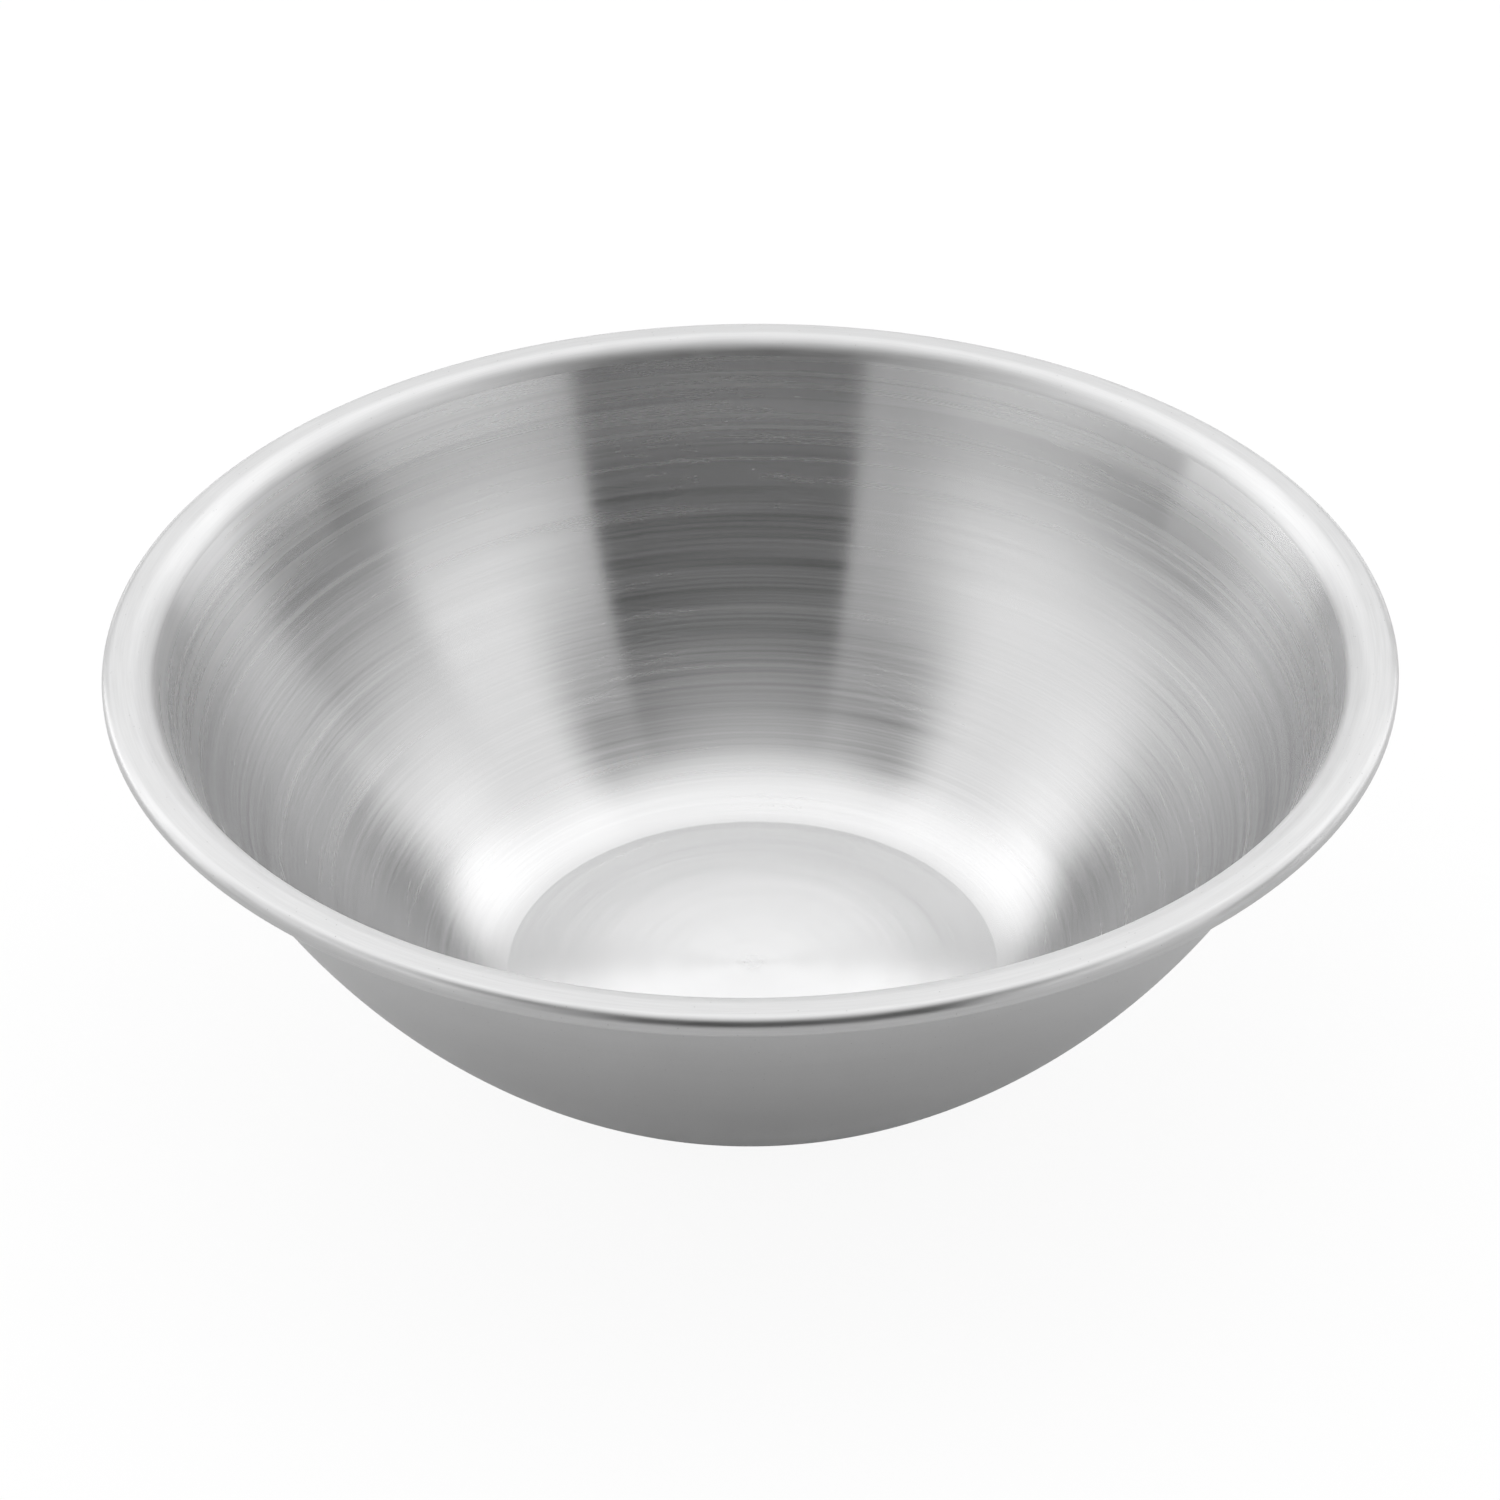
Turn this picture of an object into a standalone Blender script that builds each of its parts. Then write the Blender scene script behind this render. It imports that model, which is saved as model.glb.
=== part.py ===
"""A stainless steel mixing bowl with a flat rim: a single piece of sheet steel, drawn to shape.

The sheet runs from a flat floor, over a crisp edge and through a cove, up a flaring wall to a faint crease,
on through a straight band and over a rounded shoulder to a flat rim, and ends in a lip that is turned down
at the rim's outer edge.

Run it with blender --background --python part.py. Lengths are in metres, +Z is up, and the origin is the
centre of the base's underside.
"""

from math import cos, radians, sin, tan

import bpy
import numpy as np

# Overall size. The diameter, the height and the floor are measured on the sheet's upper face.
RIM_DIAMETER = 0.300
HEIGHT = 0.098
FLOOR_DIAMETER = 0.120
SHEET_THICKNESS = 0.0005

# Rim: a flat ring between the shoulder and the outer corner, and a lip that hangs from the corner.
RIM_WIDTH = 0.0059
SHOULDER_RADIUS = 0.0065
CORNER_RADIUS = 0.0024
LIP_HEIGHT = 0.0038

# Wall: a crease at this height, and above it a straight band that is a little less steep than the wall.
CREASE_HEIGHT = 0.0835
CREASE_RADIUS = 0.004
BAND_SLOPE = radians(67.5)

# Slopes of the sheet above the horizontal, where one arc of the section meets the next.
FLOOR_EDGE_SLOPE = radians(7.5)
COVE_TOP_SLOPE = radians(40.0)
WALL_TOP_SLOPE = radians(69.5)
FLOOR_EDGE_RADIUS = 0.0015

# Fineness of the mesh.
TURN_STEPS = 72
FLOOR_EDGE_STEPS = 2
COVE_STEPS = 6
WALL_STEPS = 8
CREASE_STEPS = 1
SHOULDER_STEPS = 6
CORNER_STEPS = 5
MERGE_DISTANCE = 0.00001
SHARP_ANGLE = radians(50)

# Brushed stainless steel.
STEEL_COLOUR = (0.60, 0.60, 0.59, 1.0)
STEEL_ROUGHNESS = 0.32
STEEL_METALLIC = 1.0


def clear_scene():
    """Removes whatever the scene holds at the start."""
    for obj in list(bpy.data.objects):
        bpy.data.objects.remove(obj, do_unlink=True)


def make_collection(name):
    """A collection of this name, linked to the scene."""
    collection = bpy.data.collections.new(name)
    bpy.context.scene.collection.children.link(collection)
    return collection


def make_steel():
    """The bowl's material."""
    steel = bpy.data.materials.new("brushed_stainless_steel")
    steel.use_nodes = True
    shader = steel.node_tree.nodes["Principled BSDF"]
    shader.inputs["Base Color"].default_value = STEEL_COLOUR
    shader.inputs["Roughness"].default_value = STEEL_ROUGHNESS
    shader.inputs["Metallic"].default_value = STEEL_METALLIC
    return steel


def arc_run(slope_from, slope_to):
    """How far an arc of radius 1 goes outwards and upwards while its slope changes."""
    side = 1 if slope_to > slope_from else -1
    return side * (sin(slope_to) - sin(slope_from)), side * (cos(slope_from) - cos(slope_to))


def add_arc(section, radius, slope_from, slope_to, steps):
    """Continues the section round an arc that starts at its last point."""
    start_r, start_z = section[-1]
    for step in range(1, steps + 1):
        slope = slope_from + (slope_to - slope_from) * step / steps
        run, rise = arc_run(slope_from, slope)
        section.append((start_r + radius * run, start_z + radius * rise))


def cove_and_wall_radii(start, end):
    """The radii of two arcs, the cove and the wall, that meet smoothly on the way from start to end."""
    cove = arc_run(FLOOR_EDGE_SLOPE, COVE_TOP_SLOPE)
    wall = arc_run(COVE_TOP_SLOPE, WALL_TOP_SLOPE)
    return np.linalg.solve(np.transpose([cove, wall]), np.subtract(end, start))


def bowl_section():
    """The sheet's upper face as (radius, height) points, from the floor's centre to the lip's edge."""
    rim_radius = RIM_DIAMETER / 2
    section = [(0.0, SHEET_THICKNESS), (FLOOR_DIAMETER / 2, SHEET_THICKNESS)]
    add_arc(section, FLOOR_EDGE_RADIUS, 0, FLOOR_EDGE_SLOPE, FLOOR_EDGE_STEPS)

    shoulder_run, shoulder_rise = arc_run(BAND_SLOPE, 0)
    band_top_r = rim_radius - RIM_WIDTH - SHOULDER_RADIUS * shoulder_run
    band_top_z = HEIGHT - SHOULDER_RADIUS * shoulder_rise
    crease_run, crease_rise = arc_run(WALL_TOP_SLOPE, BAND_SLOPE)
    band_bottom_r = band_top_r - (band_top_z - CREASE_HEIGHT) / tan(BAND_SLOPE)
    wall_top = (band_bottom_r - CREASE_RADIUS * crease_run, CREASE_HEIGHT - CREASE_RADIUS * crease_rise)

    cove_radius, wall_radius = cove_and_wall_radii(section[-1], wall_top)
    add_arc(section, cove_radius, FLOOR_EDGE_SLOPE, COVE_TOP_SLOPE, COVE_STEPS)
    add_arc(section, wall_radius, COVE_TOP_SLOPE, WALL_TOP_SLOPE, WALL_STEPS)
    add_arc(section, CREASE_RADIUS, WALL_TOP_SLOPE, BAND_SLOPE, CREASE_STEPS)
    section.append((band_top_r, band_top_z))
    add_arc(section, SHOULDER_RADIUS, BAND_SLOPE, 0, SHOULDER_STEPS)

    section.append((rim_radius - CORNER_RADIUS, HEIGHT))
    add_arc(section, CORNER_RADIUS, 0, radians(-90), CORNER_STEPS)
    section.append((rim_radius, HEIGHT - LIP_HEIGHT))
    return section


def apply_modifiers(obj):
    """Replaces the object's mesh by what its modifiers make of it."""
    graph = bpy.context.evaluated_depsgraph_get()
    shaped = bpy.data.meshes.new_from_object(obj.evaluated_get(graph))
    obj.modifiers.clear()
    obj.data = shaped


def make_bowl(collection, material):
    """The section turned about the Z axis, then thickened downwards and outwards to the sheet."""
    section = bowl_section()
    mesh = bpy.data.meshes.new("bowl")
    points = [(r, 0, z) for r, z in section]
    edges = [(i, i + 1) for i in range(len(section) - 1)]
    mesh.from_pydata(points, edges, [])
    mesh.materials.append(material)
    bowl = bpy.data.objects.new("bowl", mesh)
    collection.objects.link(bowl)

    turn = bowl.modifiers.new("turn", "SCREW")
    turn.steps = TURN_STEPS
    turn.render_steps = TURN_STEPS
    turn.use_merge_vertices = True
    turn.merge_threshold = MERGE_DISTANCE

    sheet = bowl.modifiers.new("sheet", "SOLIDIFY")
    sheet.thickness = SHEET_THICKNESS
    sheet.offset = -1
    sheet.use_even_offset = True

    apply_modifiers(bowl)
    bowl.data.shade_smooth()
    bowl.data.set_sharp_from_angle(angle=SHARP_ANGLE)


def main():
    clear_scene()
    make_bowl(make_collection("mixing_bowl"), make_steel())


main()
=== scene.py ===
from math import cos, pi, radians, sin, tan

import bpy
import numpy as np
from mathutils import Matrix, Vector


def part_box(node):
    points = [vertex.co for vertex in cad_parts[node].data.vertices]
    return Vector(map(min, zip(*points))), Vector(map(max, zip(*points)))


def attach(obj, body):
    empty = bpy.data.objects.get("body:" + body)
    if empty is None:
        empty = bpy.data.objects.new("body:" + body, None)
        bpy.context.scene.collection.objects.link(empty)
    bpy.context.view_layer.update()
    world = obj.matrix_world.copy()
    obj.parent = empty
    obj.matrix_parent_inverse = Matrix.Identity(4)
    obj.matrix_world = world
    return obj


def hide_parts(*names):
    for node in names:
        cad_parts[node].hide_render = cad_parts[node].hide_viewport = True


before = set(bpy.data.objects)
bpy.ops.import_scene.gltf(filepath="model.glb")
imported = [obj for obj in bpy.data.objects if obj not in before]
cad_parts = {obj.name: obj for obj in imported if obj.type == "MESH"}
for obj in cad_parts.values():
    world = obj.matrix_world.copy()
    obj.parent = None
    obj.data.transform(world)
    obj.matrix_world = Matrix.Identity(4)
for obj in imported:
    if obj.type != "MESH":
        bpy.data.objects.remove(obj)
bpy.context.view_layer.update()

# The bowl's overall size comes from the frame; the rest of its section repeats part.py, in metres.
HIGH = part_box("bowl")[1]
RIM_RADIUS = HIGH.x
HEIGHT = HIGH.z
FLOOR_RADIUS = 0.060
SHEET = 0.0005

RIM_WIDTH = 0.0059
SHOULDER_RADIUS = 0.0065
CORNER_RADIUS = 0.0024
LIP_HEIGHT = 0.0038
CUT_EDGE_RADIUS = 0.00024

CREASE_HEIGHT = 0.0835
CREASE_RADIUS = 0.004
BAND_SLOPE = radians(67.5)
FLOOR_EDGE_SLOPE = radians(7.5)
COVE_TOP_SLOPE = radians(40.0)
WALL_TOP_SLOPE = radians(69.5)
FLOOR_EDGE_RADIUS = 0.0015

# How many steps each stretch of the section is cut into, from the floor's centre outwards.
FLOOR_STEPS = 24
FLOOR_EDGE_STEPS = 4
COVE_STEPS = 28
WALL_STEPS = 48
CREASE_STEPS = 3
BAND_STEPS = 6
SHOULDER_STEPS = 24
RIM_STEPS = 6
CORNER_STEPS = 14
LIP_STEPS = 4
CUT_EDGE_STEPS = 5
TURN_STEPS = 288
SHARP_ANGLE = radians(40)

# Steel's own base colour: how light it is, and how much more blue than red it reflects.
STEEL_TONE = 0.62
STEEL_COOLNESS = 1.004
# The shader's highlight, turned by a quarter, is smeared across a grain that runs round the axis.
QUARTER_TURN = 0.25

# Camera: looks down at the bowl's axis from the front. The lens and the sensor are in millimetres.
CAMERA_DISTANCE = 1.0
CAMERA_ELEVATION = radians(34.05)
CAMERA_ROLL = radians(-0.49)
AIM_POINT = Vector((-0.0002, 0.0, 0.0634))
LENS = 101.1
SENSOR = 36.0


# ---------------------------------------------------------------- the bowl's section


def arc_run(slope_from, slope_to):
    """How far an arc of radius 1 goes outwards and upwards while its slope changes."""
    side = 1 if slope_to > slope_from else -1
    return side * (sin(slope_to) - sin(slope_from)), side * (cos(slope_from) - cos(slope_to))


def add_arc(section, radius, slope_from, slope_to, steps, zone):
    """Continues the section round an arc that starts at its last point."""
    start_r, start_z = section[-1][:2]
    for step in range(1, steps + 1):
        slope = slope_from + (slope_to - slope_from) * step / steps
        run, rise = arc_run(slope_from, slope)
        section.append((start_r + radius * run, start_z + radius * rise, slope, zone))


def add_straight(section, r, z, steps, zone):
    """Continues the section in a straight line, keeping its last slope."""
    start_r, start_z, slope = section[-1][:3]
    for step in range(1, steps + 1):
        share = step / steps
        section.append((start_r + (r - start_r) * share, start_z + (z - start_z) * share, slope, zone))


def upper_face():
    """The sheet's upper face from the floor's centre to the lip's edge: (radius, height, slope, zone)."""
    section = [(0.0, SHEET, 0.0, "inside")]
    add_straight(section, FLOOR_RADIUS, SHEET, FLOOR_STEPS, "inside")
    add_arc(section, FLOOR_EDGE_RADIUS, 0, FLOOR_EDGE_SLOPE, FLOOR_EDGE_STEPS, "inside")

    shoulder_run, shoulder_rise = arc_run(BAND_SLOPE, 0)
    band_top_r = RIM_RADIUS - RIM_WIDTH - SHOULDER_RADIUS * shoulder_run
    band_top_z = HEIGHT - SHOULDER_RADIUS * shoulder_rise
    crease_run, crease_rise = arc_run(WALL_TOP_SLOPE, BAND_SLOPE)
    band_bottom_r = band_top_r - (band_top_z - CREASE_HEIGHT) / tan(BAND_SLOPE)
    wall_top = (band_bottom_r - CREASE_RADIUS * crease_run, CREASE_HEIGHT - CREASE_RADIUS * crease_rise)

    cove = arc_run(FLOOR_EDGE_SLOPE, COVE_TOP_SLOPE)
    wall = arc_run(COVE_TOP_SLOPE, WALL_TOP_SLOPE)
    across = np.subtract(wall_top, section[-1][:2])
    cove_radius, wall_radius = np.linalg.solve(np.transpose([cove, wall]), across)
    add_arc(section, cove_radius, FLOOR_EDGE_SLOPE, COVE_TOP_SLOPE, COVE_STEPS, "inside")
    add_arc(section, wall_radius, COVE_TOP_SLOPE, WALL_TOP_SLOPE, WALL_STEPS, "inside")
    add_arc(section, CREASE_RADIUS, WALL_TOP_SLOPE, BAND_SLOPE, CREASE_STEPS, "inside")
    add_straight(section, band_top_r, band_top_z, BAND_STEPS, "inside")
    add_arc(section, SHOULDER_RADIUS, BAND_SLOPE, 0, SHOULDER_STEPS, "rim")
    add_straight(section, RIM_RADIUS - CORNER_RADIUS, HEIGHT, RIM_STEPS, "rim")
    add_arc(section, CORNER_RADIUS, 0, radians(-90), CORNER_STEPS, "rim")
    add_straight(section, RIM_RADIUS, HEIGHT - LIP_HEIGHT + CUT_EDGE_RADIUS, LIP_STEPS, "rim")
    return section


def closed_section():
    """The sheet's upper face, and the lip's rounded cut edge with the lower face, back to the centre."""
    upper = upper_face()
    lower = [(r + SHEET * sin(a), z - SHEET * cos(a), a, "outside") for r, z, a, _ in reversed(upper)]
    # The lip hangs down, so its cut edge faces down, between the outer and the inner face of the lip.
    edge_z = HEIGHT - LIP_HEIGHT
    inner = RIM_RADIUS - SHEET
    edge = []
    for step in range(1, CUT_EDGE_STEPS):
        turn = step / CUT_EDGE_STEPS * pi / 2
        r = RIM_RADIUS - CUT_EDGE_RADIUS * (1 - cos(turn))
        edge.append((r, edge_z + CUT_EDGE_RADIUS * (1 - sin(turn)), 0.0, "edge"))
    for step in range(CUT_EDGE_STEPS):
        turn = step / CUT_EDGE_STEPS * pi / 2
        r = inner + CUT_EDGE_RADIUS * (1 - sin(turn))
        edge.append((r, edge_z + CUT_EDGE_RADIUS * (1 - cos(turn)), 0.0, "edge"))
    return upper, edge + lower


ZONES = ["inside", "rim", "edge", "outside"]


def make_bowl_mesh(materials):
    """The closed section turned about Z, as one mesh with a material for each zone."""
    upper, rest = closed_section()
    section = upper + rest
    section[-1] = (0.0, 0.0, 0.0, "outside")
    points = [(0.0, 0.0, section[0][1])]
    for r, z, _, _ in section[1:-1]:
        for k in range(TURN_STEPS):
            angle = 2 * pi * k / TURN_STEPS
            points.append((r * cos(angle), r * sin(angle), z))
    points.append((0.0, 0.0, section[-1][1]))
    last = len(points) - 1
    rings = len(section) - 2
    faces, zones = [], []
    for k in range(TURN_STEPS):
        after = (k + 1) % TURN_STEPS
        faces.append((0, 1 + k, 1 + after))
        zones.append(section[1][3])
        for ring in range(rings - 1):
            a, b = 1 + ring * TURN_STEPS, 1 + (ring + 1) * TURN_STEPS
            faces.append((a + k, b + k, b + after, a + after))
            zones.append(section[ring + 2][3])
        a = 1 + (rings - 1) * TURN_STEPS
        faces.append((a + k, last, a + after))
        zones.append(section[-1][3])
    mesh = bpy.data.meshes.new("bowl_sheet")
    mesh.from_pydata(points, [], faces)
    for zone in ZONES:
        mesh.materials.append(materials[zone])
    mesh.polygons.foreach_set("material_index", [ZONES.index(zone) for zone in zones])
    mesh.update()
    mesh.shade_smooth()
    mesh.set_sharp_from_angle(angle=SHARP_ANGLE)
    return mesh


# ---------------------------------------------------------------- node helpers


class Graph:
    """Builds a node tree with short calls. A value is a number or another node's output."""

    def __init__(self, tree):
        self.tree = tree

    def node(self, kind, **settings):
        made = self.tree.nodes.new("ShaderNode" + kind)
        for name, value in settings.items():
            setattr(made, name, value)
        return made

    def put(self, socket, value):
        if isinstance(value, bpy.types.NodeSocket):
            self.tree.links.new(value, socket)
        else:
            socket.default_value = value

    def math(self, operation, *values):
        made = self.node("Math", operation=operation)
        for socket, value in zip(made.inputs, values):
            self.put(socket, value)
        return made.outputs[0]

    def add(self, first, *others):
        for other in others:
            first = self.math("ADD", first, other)
        return first

    def times(self, first, *others):
        for other in others:
            first = self.math("MULTIPLY", first, other)
        return first

    def rest(self, share):
        """What a share leaves of 1."""
        return self.math("SUBTRACT", 1.0, share)

    def vector(self, operation, *values):
        made = self.node("VectorMath", operation=operation)
        for socket, value in zip(made.inputs, values):
            self.put(socket, value)
        return made.outputs["Value" if operation == "LENGTH" else "Vector"]

    def split(self, vector):
        made = self.node("SeparateXYZ")
        self.put(made.inputs[0], vector)
        return made.outputs[:3]

    def join(self, x, y, z):
        made = self.node("CombineXYZ")
        for socket, value in zip(made.inputs, (x, y, z)):
            self.put(socket, value)
        return made.outputs[0]

    def ramp(self, value, start, end, low=0.0, high=1.0):
        """Goes smoothly from low to high while value goes from start to end."""
        made = self.node("MapRange", interpolation_type="SMOOTHSTEP")
        for socket, number in zip(made.inputs, (value, start, end, low, high)):
            self.put(socket, number)
        return made.outputs[0]

    def around(self, value, middle, half_width, softness):
        """1 within half_width of middle, with soft ends."""
        away = self.math("ABSOLUTE", self.math("SUBTRACT", value, middle))
        return self.ramp(away, half_width + softness, half_width - softness)

    def edge(self, value, softness):
        """0 below zero and 1 above it, with a soft step between."""
        return self.ramp(value, -softness, softness)

    def noise(self, vector, scale, detail):
        """Noise from 0 to 1 at this scale, in features per metre where the vector is in metres."""
        made = self.node("TexNoise")
        self.put(made.inputs["Vector"], vector)
        made.inputs["Scale"].default_value = scale
        made.inputs["Detail"].default_value = detail
        return made.outputs["Fac"]

    def centred(self, noise):
        """The same noise, around zero."""
        return self.add(noise, -0.5)


# ---------------------------------------------------------------- steel


class Steel:
    """A steel finish on the turned sheet: (x, y, z) is a place on the bowl, in metres."""

    def __init__(self, name, roughness, anisotropy):
        self.material = bpy.data.materials.new(name)
        self.material.use_nodes = True
        self.graph = Graph(self.material.node_tree)
        self.shader = self.material.node_tree.nodes["Principled BSDF"]
        self.shader.inputs["Metallic"].default_value = 1.0
        self.shader.inputs["Anisotropic"].default_value = anisotropy
        self.shader.inputs["Anisotropic Rotation"].default_value = QUARTER_TURN if anisotropy else 0.0
        self.roughness = roughness
        self.place = self.graph.node("TexCoord").outputs["Object"]
        self.x, self.y, self.z = self.graph.split(self.place)
        self.radius = self.graph.vector("LENGTH", self.graph.join(self.x, self.y, 0.0))
        if anisotropy:
            tangent = self.graph.node("Tangent", direction_type="RADIAL", axis="Z")
            self.graph.put(self.shader.inputs["Tangent"], tangent.outputs["Tangent"])

    def rings(self, width, turns, detail, centre=(0.0, 0.0), seed=0.0):
        """Streaks that run round a centre, as noise: width is in metres, turns is how many in a radian."""
        g = self.graph
        flat = g.vector("SUBTRACT", g.join(self.x, self.y, 0.0), (*centre, 0.0))
        way = g.vector("SCALE", g.vector("NORMALIZE", flat))
        way.node.inputs["Scale"].default_value = turns
        x, y, _ = g.split(way)
        across = g.times(g.add(g.vector("LENGTH", flat), self.z), 1 / width)
        return g.noise(g.join(x, y, g.add(across, seed)), 1.0, detail)

    def scratches(self, centre, seed):
        """Sparse fine scratches that cross the brushing at a small angle, in patches."""
        g = self.graph
        streaks = self.rings(width=0.00060, turns=0.6, detail=0.0, centre=centre, seed=seed)
        lines = g.ramp(streaks, 0.58, 0.80)
        patches = g.ramp(g.noise(self.place, scale=22.0, detail=1.0), 0.45, 0.62)
        return g.times(lines, patches)

    def specks(self, radius):
        """Tiny pits of about this radius in metres, which look like dark dots, 18 times it apart."""
        g = self.graph
        spacing = 18 * radius
        cells = g.node("TexVoronoi")
        cells.inputs["Scale"].default_value = 1 / spacing
        g.put(cells.inputs["Vector"], self.place)
        return g.ramp(cells.outputs["Distance"], 0.075, 0.04)

    def finish(self, tone, roughness, height, depth):
        """tone and roughness are added to the steel's own, and height is in units of depth, in metres."""
        g = self.graph
        shade = g.times(STEEL_TONE, g.add(1.0, tone))
        g.put(self.shader.inputs["Base Color"], g.join(shade, shade, g.times(shade, STEEL_COOLNESS)))
        g.put(self.shader.inputs["Roughness"], g.add(self.roughness, roughness))
        bump = g.node("Bump")
        bump.inputs["Strength"].default_value = 1.0
        bump.inputs["Distance"].default_value = depth
        g.put(bump.inputs["Height"], height)
        g.put(self.shader.inputs["Normal"], bump.outputs["Normal"])
        return self.material


def inside_steel():
    """Brushed round the axis, with tool rings, finer and rougher bands, and light scratches across."""
    steel = Steel("steel_brushed_inside", roughness=0.25, anisotropy=1.0)
    g = steel.graph
    grain = g.centred(steel.rings(width=0.00070, turns=1.2, detail=0.0))
    streaks = g.centred(steel.rings(width=0.0018, turns=0.9, detail=0.0, seed=5.0))
    bands = g.centred(steel.rings(width=0.0070, turns=0.6, detail=1.0, seed=9.0))
    scratches = g.add(
        steel.scratches(centre=(0.030, 0.012), seed=3.0), steel.scratches(centre=(-0.028, 0.018), seed=7.0)
    )
    tool_marks = g.add(
        g.around(steel.z, middle=0.0895, half_width=0.0003, softness=0.0004),
        g.around(steel.z, middle=0.0838, half_width=0.0003, softness=0.0005),
    )
    upper_band = g.ramp(steel.z, 0.0695, 0.0715)
    centre_mark = g.ramp(steel.radius, 0.0050, 0.0010)
    # Painted highlight: the floor's middle is made lighter, standing in for the brushed floor's highlight.
    painted_floor_highlight = g.ramp(steel.radius, 0.044, 0.032)
    brushing = g.ramp(steel.radius, 0.050, 0.070, low=0.35)
    tone = g.add(
        g.times(brushing, g.add(g.times(grain, 0.10), g.times(streaks, 0.07), g.times(scratches, 0.02))),
        g.times(bands, 0.05), g.times(tool_marks, -0.08), g.times(painted_floor_highlight, 0.06),
        g.times(centre_mark, -0.02),
    )
    roughness = g.add(
        g.times(brushing, g.add(g.times(grain, 0.03), g.times(streaks, 0.06), g.times(scratches, 0.012))),
        g.times(bands, 0.06), g.times(upper_band, 0.02), g.times(centre_mark, 0.03),
    )
    return steel.finish(tone, roughness, height=streaks, depth=0.0000015)


def rim_steel():
    """Polished round the rim, a little worn along it, and rougher on the shoulder."""
    steel = Steel("steel_polished_rim", roughness=0.33, anisotropy=0.8)
    g = steel.graph
    grain = g.centred(steel.rings(width=0.00035, turns=10.0, detail=2.0, seed=2.0))
    streaks = g.centred(steel.rings(width=0.0011, turns=6.0, detail=3.0, seed=6.0))
    wear = g.centred(g.noise(steel.place, scale=70.0, detail=3.0))
    specks = steel.specks(0.00012)
    shoulder_end = RIM_RADIUS - RIM_WIDTH
    flat = g.ramp(steel.radius, shoulder_end - 0.003, shoulder_end + 0.001)
    tone = g.add(
        g.times(flat, -0.10), -0.09, g.times(grain, 0.14), g.times(streaks, 0.10), g.times(wear, 0.08),
        g.times(specks, -0.25),
    )
    roughness = g.add(
        g.times(g.rest(flat), 0.07), g.times(streaks, 0.08), g.times(wear, 0.10), g.times(specks, 0.2)
    )
    height = g.add(g.times(grain, 0.3), g.times(streaks, 0.5), g.times(specks, -1.0))
    return steel.finish(tone, roughness, height, depth=0.000008)


def cut_edge_steel():
    """The sheet's sheared edge, with its burr polished off."""
    steel = Steel("steel_cut_edge", roughness=0.34, anisotropy=0.0)
    g = steel.graph
    nicks = g.centred(g.noise(steel.place, scale=900.0, detail=3.0))
    tone = g.add(0.10, g.times(nicks, 0.2))
    return steel.finish(tone, g.times(nicks, 0.15), height=nicks, depth=0.00002)


def outside_steel():
    """Plain satin with faint spinning rings and a few pits, with painted light towards the foot."""
    steel = Steel("steel_satin_outside", roughness=0.40, anisotropy=0.0)
    g = steel.graph
    satin = g.centred(g.noise(steel.place, scale=1600.0, detail=2.0))
    clouds = g.centred(g.noise(steel.place, scale=38.0, detail=3.0))
    rings = g.centred(steel.rings(width=0.0030, turns=1.2, detail=3.0, seed=4.0))
    specks = steel.specks(0.00013)
    # Painted light: the wall is made lighter towards the foot, standing in for light on its shaded
    # reflection of the table.
    painted_foot_light = g.ramp(steel.z, 0.045, 0.005)
    tone = g.add(
        g.times(satin, 0.05), g.times(clouds, 0.06), g.times(rings, 0.05), g.times(specks, -0.25),
        g.times(painted_foot_light, 0.16),
    )
    roughness = g.add(g.times(clouds, 0.08), g.times(rings, 0.06), g.times(satin, 0.04))
    height = g.add(g.times(satin, 0.4), rings, g.times(specks, -1.5))
    return steel.finish(tone, roughness, height, depth=0.000006)


# ---------------------------------------------------------------- studio

TABLE_SIZE = 12
TABLE_PAINT = (0.8, 0.8, 0.8, 1)
TABLE_GLOW = 1.02
TABLE_GLOW_SHARE = 0.9

# How bright the tent is all over, and what each part of it adds.
TENT_LIGHT = 0.66
SIDE_LIGHT = 0.78
HIGH_BACK_LIGHT = 0.96
BACK_CORNER_LIGHT = 0.12
ROOF_LIGHT = 0.38
ROOF_MIDDLE_LIGHT = 0.34
# How much of the light behind it the card takes away.
CARD_SHADE = 0.55
SLOT_SOFTNESS = 0.008
GAP_SOFTNESS = 0.16

PANEL_DISTANCE = 3.0
PANEL_AIM = Vector((0.0, 0.0, 0.08))
# Low strip lights beside and behind the bowl: the angle round from the front and the height, half the
# width and half the height that each takes up as the bowl sees it, in degrees, and its brightness.
PANELS = {
    "low_right": (115.0, 4.0, 22.0, 4.0, 1.5),
    "low_left": (-115.0, 4.0, 22.0, 4.0, 2.2),
    "low_back": (180.0, 4.0, 35.0, 4.0, 1.9),
}


def make_floor():
    """A white table that glows a little to the camera, so that the bowl's shadow on it stays faint."""
    bpy.ops.mesh.primitive_plane_add(size=TABLE_SIZE, location=(0, 0, 0))
    floor = bpy.context.object
    floor.name = "studio_floor"
    material = bpy.data.materials.new("studio_floor")
    material.use_nodes = True
    g = Graph(material.node_tree)
    paint = material.node_tree.nodes["Principled BSDF"]
    paint.inputs["Base Color"].default_value = TABLE_PAINT
    paint.inputs["Roughness"].default_value = 1
    paint.inputs["Specular IOR Level"].default_value = 0
    glow = g.node("Emission")
    glow.inputs["Strength"].default_value = TABLE_GLOW
    mix = g.node("MixShader")
    g.put(mix.inputs[0], g.times(g.node("LightPath").outputs["Is Camera Ray"], TABLE_GLOW_SHARE))
    g.put(mix.inputs[1], paint.outputs[0])
    g.put(mix.inputs[2], glow.outputs[0])
    g.put(material.node_tree.nodes["Material Output"].inputs["Surface"], mix.outputs[0])
    floor.data.materials.append(material)


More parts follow.
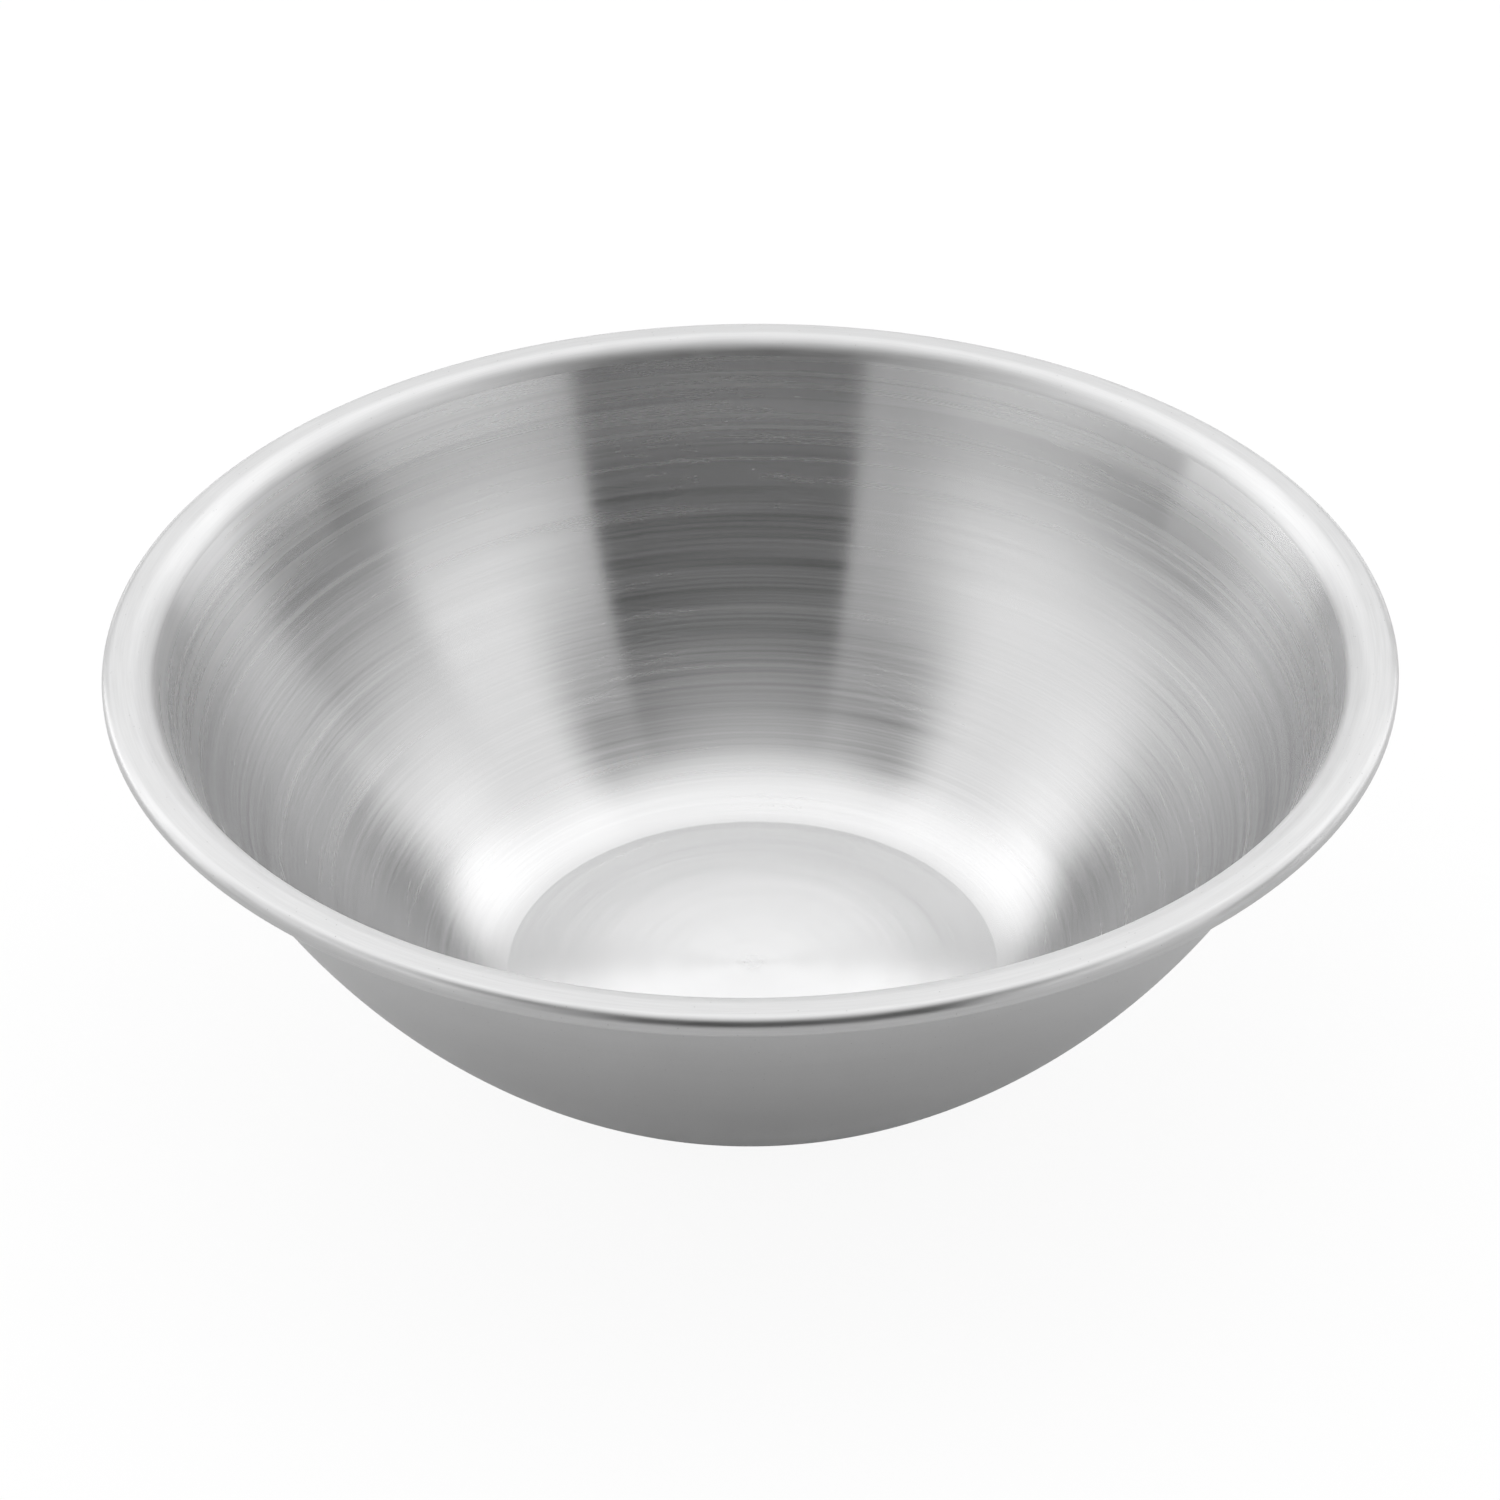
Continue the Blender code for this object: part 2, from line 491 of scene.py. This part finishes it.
def tent_opening(g, x, front, z):
    """1 in the tent's dark opening: a tall slot between two front screens, and wider above them."""
    slot_right = g.math("SUBTRACT", g.add(g.times(front, 0.64), g.times(z, 0.13)), x)
    slot_left = g.add(x, g.times(front, 0.39), g.times(z, 0.10))
    slot_sides = g.times(g.edge(slot_right, SLOT_SOFTNESS), g.edge(slot_left, SLOT_SOFTNESS))
    slot = g.times(slot_sides, g.ramp(z, 0.72, 0.64))
    gap_right = g.math("SUBTRACT", g.add(g.times(front, 1.03), g.times(z, 0.47)), x)
    gap_left = g.add(x, g.times(front, 0.60), g.times(z, 0.59))
    gap_sides = g.times(g.edge(gap_right, GAP_SOFTNESS), g.edge(gap_left, GAP_SOFTNESS))
    gap = g.times(gap_sides, g.ramp(z, 0.64, 0.72))
    return g.times(
        g.add(slot, gap), g.edge(front, 0.08), g.ramp(z, 0.97, 0.85), g.ramp(z, 0.125, 0.158)
    )


def tent_light(g, x, back, z):
    """How bright the closed tent is: brighter at its sides, overhead, and most of all high behind."""
    aside = g.math("ABSOLUTE", x)
    sides = g.times(SIDE_LIGHT, g.ramp(aside, 0.45, 0.75), g.ramp(z, 0.70, 0.50))
    high_back = g.times(HIGH_BACK_LIGHT, g.ramp(back, -0.10, 0.75), g.ramp(z, 0.22, 0.62))
    back_corners = g.times(
        BACK_CORNER_LIGHT, g.ramp(back, 0.05, 0.45), g.ramp(aside, 0.25, 0.45),
        g.around(z, middle=0.525, half_width=0.225, softness=0.10),
    )
    roof = g.add(
        g.times(ROOF_MIDDLE_LIGHT, g.ramp(z, 0.75, 0.95)), g.times(ROOF_LIGHT, g.ramp(z, 0.35, 0.85))
    )
    return g.add(TENT_LIGHT, sides, high_back, back_corners, roof)


def make_world():
    """A white tent round the table. The camera sees it as plain white, and only the bowl its dark parts.

    x, back and z are how far each direction points to the right, to the back and up, from -1 to 1.
    """
    world = bpy.data.worlds.new("studio")
    bpy.context.scene.world = world
    world.use_nodes = True
    g = Graph(world.node_tree)
    x, back, z = g.split(g.node("TexCoord").outputs["Generated"])
    front = g.times(back, -1.0)
    opening = tent_opening(g, x, front, z)
    # Below the tent's front and side screens there is a dark gap, just over the table.
    under_screens = g.times(
        g.around(z, middle=0.155, half_width=0.065, softness=0.012), g.ramp(front, -0.57, -0.27)
    )
    # A grey card stands at the right, a little above the table.
    card = g.times(
        CARD_SHADE, g.ramp(x, 0.78, 0.88), g.around(front, middle=-0.14, half_width=0.28, softness=0.08),
        g.around(z, middle=0.28, half_width=0.17, softness=0.05),
    )
    light = g.times(tent_light(g, x, back, z), g.rest(opening), g.rest(under_screens), g.rest(card))
    shown = g.math("MAXIMUM", light, g.node("LightPath").outputs["Is Camera Ray"])
    g.put(world.node_tree.nodes["Background"].inputs["Color"], g.join(shown, shown, shown))


def make_panels():
    """The strip lights, each facing the bowl."""
    for name, (turn, height, half_wide, half_tall, brightness) in PANELS.items():
        turn, height = radians(turn), radians(height)
        way = Vector((sin(turn) * cos(height), -cos(turn) * cos(height), sin(height)))
        data = bpy.data.lights.new("panel_" + name, "AREA")
        data.shape = "RECTANGLE"
        data.size = 2 * PANEL_DISTANCE * tan(radians(half_wide))
        data.size_y = 2 * PANEL_DISTANCE * tan(radians(half_tall))
        data.energy = brightness * pi * data.size * data.size_y
        panel = bpy.data.objects.new("panel_" + name, data)
        panel.location = PANEL_AIM + PANEL_DISTANCE * way
        panel.rotation_euler = way.to_track_quat("Z", "Y").to_euler()
        bpy.context.scene.collection.objects.link(panel)


def make_camera():
    """A camera in front of the bowl, which looks at the aim point and is tilted a little."""
    forward = Vector((0, cos(CAMERA_ELEVATION), -sin(CAMERA_ELEVATION)))
    right = Vector((1, 0, 0))
    up = right.cross(forward)
    tilted_right = cos(CAMERA_ROLL) * right + sin(CAMERA_ROLL) * up
    tilted_up = -sin(CAMERA_ROLL) * right + cos(CAMERA_ROLL) * up
    position = AIM_POINT - CAMERA_DISTANCE * forward
    data = bpy.data.cameras.new("camera")
    data.lens = LENS
    data.sensor_width = SENSOR
    camera = bpy.data.objects.new("camera", data)
    axes = Matrix((tilted_right, tilted_up, -forward)).transposed()
    camera.matrix_world = Matrix.Translation(position) @ axes.to_4x4()
    bpy.context.scene.collection.objects.link(camera)
    bpy.context.scene.camera = camera


def make_bowl():
    """The bowl's fine sheet, which stands for the CAD node."""
    materials = {
        "inside": inside_steel(), "rim": rim_steel(), "edge": cut_edge_steel(), "outside": outside_steel()
    }
    bowl = bpy.data.objects.new("bowl_sheet", make_bowl_mesh(materials))
    bpy.context.scene.collection.objects.link(bowl)
    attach(bowl, "root")
    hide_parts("bowl")


def main():
    """Sets how brightness is shown, then makes the camera, the bowl and the studio."""
    view = bpy.context.scene.view_settings
    view.view_transform = "Standard"
    view.look = "None"
    make_camera()
    make_bowl()
    make_floor()
    make_world()
    make_panels()


main()
